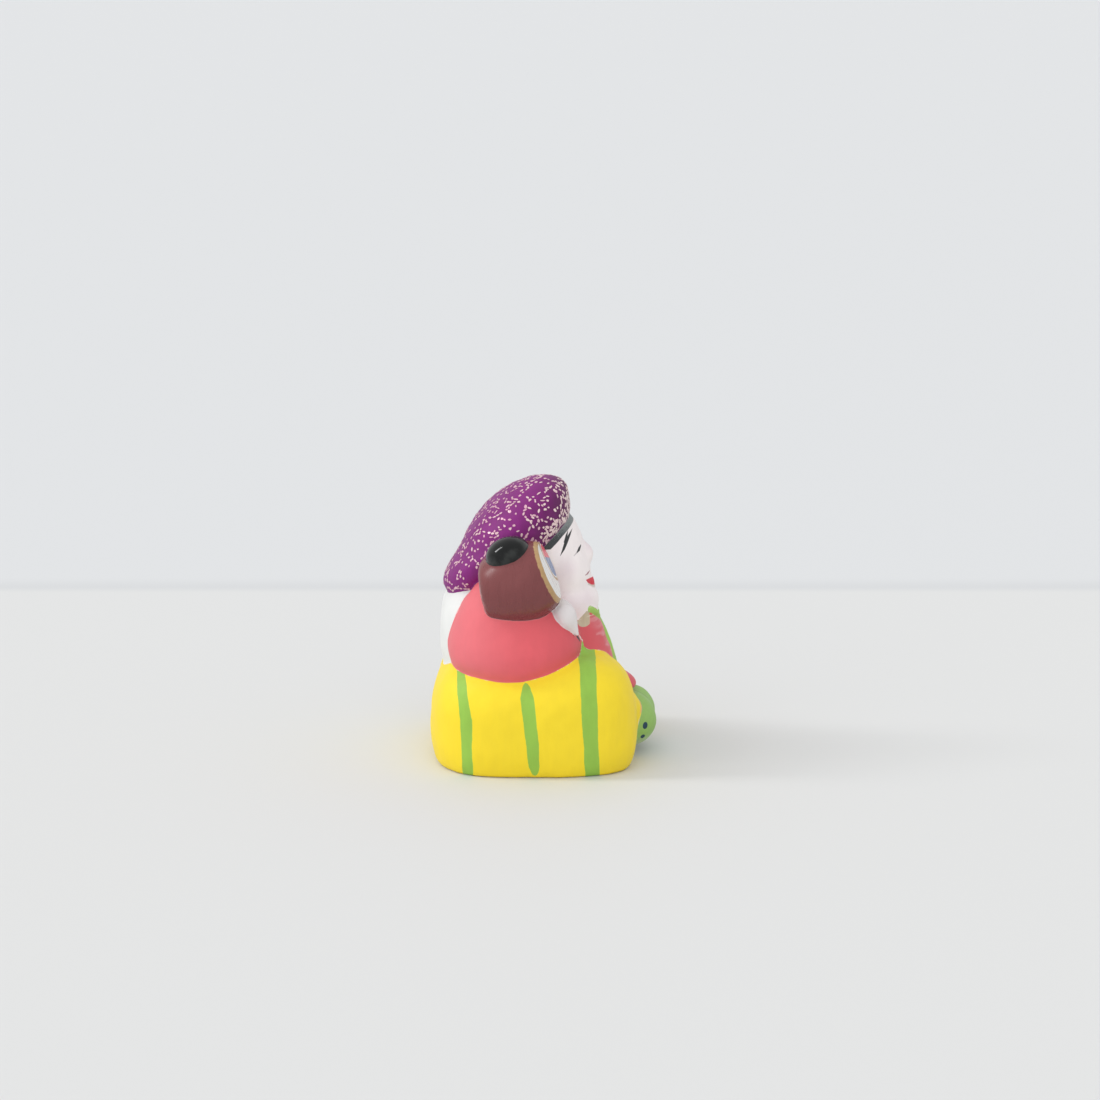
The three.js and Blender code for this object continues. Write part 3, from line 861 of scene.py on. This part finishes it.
# Strokes in the fold below the right hand, a painted shade in its gap and a pale bared edge: places and
# half widths
CREASE_GAP_SHADE = ((-14, -6.5, 25.75), 0.2), ((-13.33, -6.6, 25.32), 0.35), ((-12.7, -6.89, 24.65), 0.3)
CREASE_EDGE = (
    ((-12.3, -6.8, 25.6), 0.25),
    ((-12, -6.9, 25.15), 0.3),
    ((-10.83, -7.19, 24.52), 0.3),
    ((-9.2, -7.5, 23.75), 0.25),
)

HEAD_MIDDLE = Vector((0, 0, 36.5))
HEAD_REACH = 9.5
# partly a blush and partly painted shade, on the cheeks, the nose's root and the jaw's lower edge
BLUSH_AND_SHADE_SPOTS = [  # centre and radius
    ((-8, -4.2, 37.4), 3.7),
    ((0, -8.8, 40.4), 2.4),
    ((-8.9, -5.3, 30.2), 4.2),
    ((-6, -8.3, 30.6), 4),
]
FACE_STROKES = [  # ink, softness, strength and strokes, each a run of places and half widths
    (
        INK,
        0.06,
        1.0,
        [
            [
                ((-8.3, -3.2, 40.1), 0.03),
                ((-7.7, -3.9, 41.4), 0.26),
                ((-6.9, -4.5, 42.8), 0.36),
                ((-5.5, -5.1, 43.8), 0.2),
                ((-3.8, -5.6, 44.6), 0.02),
            ],
            [((-7.2, -4.25, 42.6), 0.3), ((-6.3, -4.5, 43.7), 0.2), ((-5.3, -4.8, 44.6), 0.02)],
        ],
    ),
    (FADED_INK, 0.12, 0.6, [[((-5.9, -5.5, 39.5), 0.05), ((-4.9, -6.1, 39.95), 0.16)]]),
    (
        INK,
        0.06,
        1.0,
        [[((-4.9, -6.1, 39.95), 0.12), ((-4.1, -6.6, 40.4), 0.36), ((-2.8, -7.2, 41.05), 0.14)]],
    ),
    (LIP_SHADE, 0.2, 0.8, [[((-4.2, -9.1, 33.5), 0.1), ((-2.2, -9.75, 33), 0.35), ((0, -10, 32.8), 0.4)]]),
    (
        LIP_RED,
        0.06,
        1.0,
        [
            [
                ((-5.05, -8.6, 34.55), 0.06),
                ((-4.2, -9, 34.2), 0.36),
                ((-2.5, -9.6, 33.75), 0.58),
                ((0, -9.95, 33.5), 0.62),
            ],
        ],
    ),
    (
        SMILE,
        0.07,
        0.9,
        [[((-5.3, -8.3, 35.6), 0.06), ((-4, -8.8, 35.75), 0.18), ((-2.4, -9.25, 35.9), 0.08)]],
    ),
]

# The jewel on the mallet's face, in the barrel's own frame, and the radii of its rings
JEWEL_AT = 3.9, 1.5
JEWEL_LEAN = 0.35
JEWEL_SQUASH = 0.6
JEWEL_OUTER = 3.6
JEWEL_OUTLINE = 3.1
JEWEL_INNER = 2.8
FACE_FIELD = 5.6

EDGE = 0.05  # half width, in mm, of a painted edge's softness
INKED = 0.06  # and of a brush stroke's


def brushed(paint, grain, base, share=0.07):
    """A colour with light and dark brush marks."""
    dark = [c * (1 - share) for c in base[:3]] + [1]
    light = [min(c * (1 + share), 1) for c in base[:3]] + [1]
    return paint.mix(grain, dark, light)


def brushed_over(paint, colour, grain, deeper):
    """A mixed colour with marks of a deeper one."""
    return paint.mix(paint.step(grain, 0.62, 0.72) * 0.35, colour, deeper)


def on_head(point):
    """The point moved straight in or out to a ball about the head's middle."""
    return HEAD_MIDDLE + (Vector(point) - HEAD_MIDDLE).normalized() * HEAD_REACH


def face_colours(paint, side, grain):
    """Skin with its blush and painted shade, brows, eyes and mouth, the same on both sides."""
    colour = brushed(paint, grain, SKIN, 0.02)
    # soft spots of blush and painted shade
    for centre, radius in BLUSH_AND_SHADE_SPOTS:
        soft = paint.step(paint.spot(side, centre, (radius,) * 3), 0, 1)
        colour = paint.mix(soft * 0.4, colour, BLUSH_AND_SHADE)
    outward = paint.vector("NORMALIZE", paint.vector("SUBTRACT", side, HEAD_MIDDLE))
    ball = paint.vector("ADD", paint.vector("MULTIPLY", outward, (HEAD_REACH,) * 3), HEAD_MIDDLE)
    for ink, softness, strength, strokes in FACE_STROKES:
        laid = [[(on_head(at), width) for at, width in stroke] for stroke in strokes]
        margins = [paint.stroke(ball, *stroke) for stroke in laid]
        margin = margins[0]
        for other in margins[1:]:
            margin = paint.maths("MAXIMUM", margin, other)
        colour = paint.mix(paint.step(margin, -softness, softness) * strength, colour, ink)
    return colour


def mallet_colours(paint, grain):
    """The mallet's brown barrel with a gold rim, and on its face a white field with a painted jewel."""
    u, v, along = paint.parts(paint.attribute("barrel", "Vector"))
    out = paint.maths("SQRT", u * u + v * v)
    colour = brushed(paint, grain, MALLET_BROWN, 0.06)
    worn = paint.noise(paint.place(), 1.1, 3)
    rear = paint.step(along - v * BARREL_SLANT + worn, 1.1 - BARREL_REAR, 0.5 - BARREL_REAR)
    colour = paint.mix(rear * 0.6, colour, WORN_BROWN)
    gilt = paint.step(along + worn * 0.5, BARREL_HALF - 0.55, BARREL_HALF - 0.45)
    colour = paint.mix(gilt, colour, brushed(paint, worn, RIM_GOLD, 0.2))
    sheared = u + v * JEWEL_LEAN - JEWEL_AT[0]
    upwards = v - JEWEL_AT[1]
    inner = paint.maths("SQRT", sheared * sheared + upwards * upwards * JEWEL_SQUASH)
    jewel = paint.mix(paint.step(v + u * 0.25, 2.7, 3.0), PATCH_BLUE, PATCH_RED)
    field = WHITE
    for radius, filled in ((JEWEL_OUTER, RIM_GOLD), (JEWEL_OUTLINE, WHITE), (JEWEL_INNER, jewel)):
        field = paint.mix(paint.step(inner, radius, radius - 0.1), field, filled)
    on_face = paint.step(out, FACE_FIELD, FACE_FIELD - 0.15)
    on_face = on_face * paint.step(along, BARREL_HALF - 0.4, BARREL_HALF - 0.3)
    return paint.mix(on_face, colour, field)


def hair_colours(paint, place, speckle):
    """The hair band under the hood, worn towards the forehead."""
    height = paint.parts(place)[2]
    worn = paint.step(speckle + paint.step(height, 42.5, 46.5) * 0.5, 0.55, 0.95)
    return paint.mix(worn, HAIR_AND_GAP_SHADE, HAIR_WORN)


def coat_colours(paint, place, side, grain):
    """Red coat, brushed thinner and paler along the collar, with painted light towards the back and painted
    shade towards the front.
    """
    coat = brushed(paint, grain, RED, 0.03)
    _, y, _ = paint.parts(place)
    # painted light and shade: paler towards the back, where the light falls, and deeper towards the front
    coat = paint.mix(paint.step(y, 2, 16) * 0.2, coat, PALE_RED)
    coat = paint.mix(paint.step(y, 1, -7) * 0.4, coat, PAINTED_SHADE_RED)
    dry = paint.step(paint.noise(place, 0.5, 4, (0.5, 0.5, 2.6)), 0.4, 0.65)
    near_collar = paint.step(paint.attribute("collar"), -3.4, -0.1)
    coat = paint.mix(near_collar * (0.25 + dry * 0.45), coat, PALE_RED)
    for start, end in COAT_STREAKS:
        streak = paint.step(paint.stroke(side, (start, 0.1), (end, 0.4)) + (dry - 0.5) * 0.3, -0.35, 0.3)
        coat = paint.mix(streak * 0.6, coat, PALE_RED)
    under_chin = paint.step(paint.spot(side, *UNDER_CHIN), 0.0, 0.1)
    return paint.mix(under_chin, coat, SKIN)


def neck_patch(paint, side):
    """Where the neck is bare, below the jaw and behind the collar's end."""
    _, y, z = paint.parts(side)
    patch = paint.step(paint.spot(side, *BARE_NECK), 0.0, INKED)
    behind = paint.step(y, NECK_FRONT, NECK_FRONT + INKED)
    below = paint.step(y + z, NECK_SLANT, NECK_SLANT - 0.1)
    return patch * behind * below


def coat_corner(paint, side):
    """The coat's upper corner, where it runs up under the collar's end."""
    return paint.step(paint.spot(side, *COAT_CORNER), 0.0, INKED)


def crease(paint, place, colour):
    """Painted shade in the gap, and a pale bared edge, where the sleeve, the coat and the knee meet."""
    gap = paint.step(paint.stroke(place, *CREASE_GAP_SHADE), -INKED, INKED)
    edge = paint.step(paint.stroke(place, *CREASE_EDGE), -INKED, INKED)
    return paint.mix(edge * 0.8, paint.mix(gap, colour, HAIR_AND_GAP_SHADE), UNDERCOAT)


def boot_colours(paint, side, fine):
    """Green boots with dark blue dots, paler towards the foot, and a painted shade line between them."""
    x, _, z = paint.parts(side)
    boots = brushed(paint, fine, BOOT_GREEN, 0.08)
    boots = paint.mix(paint.step(z, 5, 1.5) * 0.52, boots, WHITE)
    # a painted shade line where the two boots meet
    between = paint.step(x, -0.3, -0.1)
    boots = paint.mix(between * 0.5, boots, BOOT_SHADE)
    for centre, radii in BOOT_DOTS:
        boots = paint.mix(paint.step(paint.spot(side, centre, radii), 0, 0.15), boots, DEEP_BLUE)
    return boots


def painted_clay():
    """The whole figure's paint, area by area, from the undermost to the last one painted."""
    paint = Paint("painted clay", {"Specular IOR Level": SHINE})
    place = paint.place()
    side = paint.folded(place)
    wobble = (paint.noise(place, 0.2) - 0.5) * 0.6 + (paint.noise(place, 1.5) - 0.5) * 0.1
    streaks = paint.noise(place, 0.9, 3, (1.0, 1.0, 0.18))
    fine = paint.noise(place, 3.5, 2, (1.0, 1.0, 0.12))
    broad = paint.noise(place, 0.25)
    grain = paint.step(streaks * 0.5 + broad * 0.5, 0.3, 0.7)
    speckle = paint.noise(place, 6, 3)

    def area(name):
        return paint.step(paint.attribute(name) + wobble, -EDGE, EDGE)

    _, y, z = paint.parts(place)
    colour = brushed(paint, grain, YELLOW, 0.02)
    cuff_edge = paint.step(paint.attribute("boots"), -0.5, -0.2) * paint.step(z, 8.6, 9.6)
    colour = paint.mix(cuff_edge * 0.8, colour, PEACH)
    colour = paint.mix(area("stripes"), colour, brushed(paint, grain, LEAF_GREEN, 0.05))
    colour = paint.mix(area("coat"), colour, coat_colours(paint, place, side, grain))
    colour = paint.mix(area("sack"), colour, brushed(paint, grain, WHITE, 0.01))
    colour = paint.mix(area("boots"), colour, boot_colours(paint, side, fine))

    colour = paint.mix(area("skin"), colour, face_colours(paint, side, grain))
    band = paint.maths("MINIMUM", paint.attribute("hair") + wobble * 0.5, paint.attribute("skin"))
    colour = paint.mix(paint.step(band, -EDGE, EDGE), colour, hair_colours(paint, place, speckle))
    colour = paint.mix(neck_patch(paint, side), colour, brushed(paint, fine, NECK, 0.12))
    colour = paint.mix(coat_corner(paint, side), colour, RED)
    colour = paint.mix(area("collar"), colour, brushed(paint, grain, COLLAR_GREEN, 0.06))
    colour = paint.mix(area("fist"), colour, brushed(paint, grain, SKIN, 0.02))
    colour = paint.mix(area("hand"), colour, brushed(paint, grain, HAND_WHITE, 0.02))

    # painted shade: the hood deeper purple towards its front and its lower edge
    hood_shade = paint.step(y * 0.8 + z * 0.35 + broad * 5, 24, 13.5)
    hood = paint.mix(hood_shade, brushed(paint, grain, PURPLE, 0.1), DEEP_PURPLE)
    colour = paint.mix(area("hood"), colour, brushed_over(paint, hood, speckle, DEEP_PURPLE))
    off_mallet = paint.step(paint.attribute("mallet"), -0.3, -0.6)
    seam = paint.step(paint.attribute("seam"), 0.14, 0.05) * off_mallet
    bare = seam * paint.step(paint.noise(place, 0.5, 3), 0.42, 0.6)
    colour = paint.mix(bare * 0.6, colour, UNDERCOAT)
    colour = crease(paint, place, colour)
    mallet = area("mallet")
    knob = area("knob")
    colour = paint.mix(mallet, colour, mallet_colours(paint, grain))
    # greyish patches laid at random on the black knob: painted reflection
    knob_sheen = paint.step(paint.noise(place, 0.32, 3), 0.42, 0.66)
    colour = paint.mix(knob, colour, paint.mix(knob_sheen * 0.2, BLACK, KNOB_SHEEN_GREY))
    underside = paint.step(z, 0.12, 0.04)
    colour = paint.mix(underside, colour, brushed(paint, speckle, BARE_CLAY, 0.1))
    paint.feed(paint.shader.inputs["Base Color"], colour)

    roughness = 0.45 + streaks * 0.2
    roughness = paint.blend(mallet, roughness, 0.2 + streaks * 0.16)
    roughness = paint.blend(knob, roughness, 0.05 + streaks * 0.1)
    paint.feed(paint.shader.inputs["Roughness"], roughness)

    bump = paint.add("ShaderNodeBump")
    bump.inputs["Strength"].default_value = 1.0
    bump.inputs["Distance"].default_value = 0.025 * MM
    height = streaks * 0.9 + speckle * 0.1
    paint.feed(bump.inputs["Height"], paint.blend(mallet, height, height * 0.06))
    paint.feed(paint.shader.inputs["Normal"], Term(paint, bump.outputs["Normal"]))
    return paint.material


def flake_gold():
    """Pale gold leaf, each flake of its own tone."""
    paint = Paint("flake gold", {"Metallic": 0.2, "Roughness": 0.35})
    tone = paint.attribute("tone")
    colour = paint.mix(tone, FLAKE_DULL, FLAKE_BRIGHT)
    worn = paint.step(paint.noise(paint.place(), 3, 3), 0.35, 0.7)
    paint.feed(paint.shader.inputs["Base Color"], paint.mix(worn * 0.4, colour, FLAKE_ROSE))
    return paint.material


# Stage

FLOOR_HALF = 8.0
FLOOR = srgb(214, 215, 215)
BACKDROP = srgb(212, 214, 216)
# a faint painted shade line, for the fold where the floor turns into the backdrop
FOLD_SHADE = srgb(205, 207, 209)
FOLD_AT = 142.0  # mm behind the figure
FOLD_IN = -6, 1  # where the fold darkens, from there
FOLD_OUT = 0, 12  # and where it ends in the backdrop
WORLD = srgb(255, 255, 255)
WORLD_STRENGTH = 0.805

# A tall window beyond the figure's back, as a column of small suns, and a broad soft fill from the front
WINDOW_RISES = [math.radians(a) for a in (30, 38, 46, 55)]
WINDOW_SPREAD = math.radians(9)
WINDOW_ON_FLOOR = 0.2
FILL_FROM = Vector((-0.8, 0.25, 0.6))
FILL_SPREAD = math.radians(80)
FILL_STRENGTH = 0.82


def make_camera():
    """The photograph's viewpoint: level with the figure's right side and a little above it."""
    forward = Vector((math.cos(VIEW_ELEVATION), 0, -math.sin(VIEW_ELEVATION)))
    right = Vector((0, -1, 0))
    up = right.cross(forward)
    middle = FRAME_PX / 2
    aim = right * (middle - FOOT_PX[0]) / PX_PER_MM + up * (FOOT_PX[1] - middle) / PX_PER_MM
    camera = bpy.data.objects.new("camera", bpy.data.cameras.new("camera"))
    camera.data.angle = 2 * math.atan(middle / (PX_PER_MM * VIEW_DISTANCE))
    camera.location = (aim - forward * VIEW_DISTANCE) * MM
    camera.rotation_euler = forward.to_track_quat("-Z", "Y").to_euler()
    bpy.context.scene.collection.objects.link(camera)
    bpy.context.scene.camera = camera


def make_floor():
    """A plain pale floor, with a faint painted shade line for the fold where it turns into the backdrop."""
    edge = FLOOR_HALF / MM
    corners = np.array([(-edge, -edge, 0), (edge, -edge, 0), (edge, edge, 0), (-edge, edge, 0)])
    floor = make_mesh("floor", corners, [(0, 1, 2, 3)])
    paint = Paint("floor", {"Roughness": 0.7})
    behind = paint.parts(paint.place())[0]
    colour = paint.mix(paint.step(behind, *[FOLD_AT + at for at in FOLD_IN]), FLOOR, FOLD_SHADE)
    colour = paint.mix(paint.step(behind, *[FOLD_AT + at for at in FOLD_OUT]), colour, BACKDROP)
    paint.feed(paint.shader.inputs["Base Color"], colour)
    floor.data.materials.append(paint.material)


def add_sun(name, towards, strength, spread):
    sun = bpy.data.objects.new(name, bpy.data.lights.new(name, "SUN"))
    sun.data.energy = strength
    sun.data.angle = spread
    sun.rotation_euler = towards.to_track_quat("Z", "X").to_euler()
    bpy.context.scene.collection.objects.link(sun)
    return sun


def make_light():
    """An even white surround, a tall soft window to the left of the view, and a weak fill."""
    scene = bpy.context.scene
    scene.world = bpy.data.worlds.new("surround")
    scene.world.use_nodes = True
    background = scene.world.node_tree.nodes["Background"]
    background.inputs["Color"].default_value = WORLD
    background.inputs["Strength"].default_value = WORLD_STRENGTH
    for rise in WINDOW_RISES:
        strength = math.pi * WINDOW_ON_FLOOR / len(WINDOW_RISES) / math.sin(rise)
        add_sun("window", Vector((0, math.cos(rise), math.sin(rise))), strength, WINDOW_SPREAD)
    fill = add_sun("fill", FILL_FROM, FILL_STRENGTH, FILL_SPREAD)
    fill.visible_glossy = False
    scene.view_settings.view_transform = "Standard"


make_camera()
make_light()
make_floor()

figure, vertices, margins = make_figure()
figure.data.materials.append(painted_clay())
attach(figure, "root")
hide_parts("clay_figure")

flakes = make_flakes(vertices, margins)
flakes.data.materials.append(flake_gold())
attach(flakes, "root")
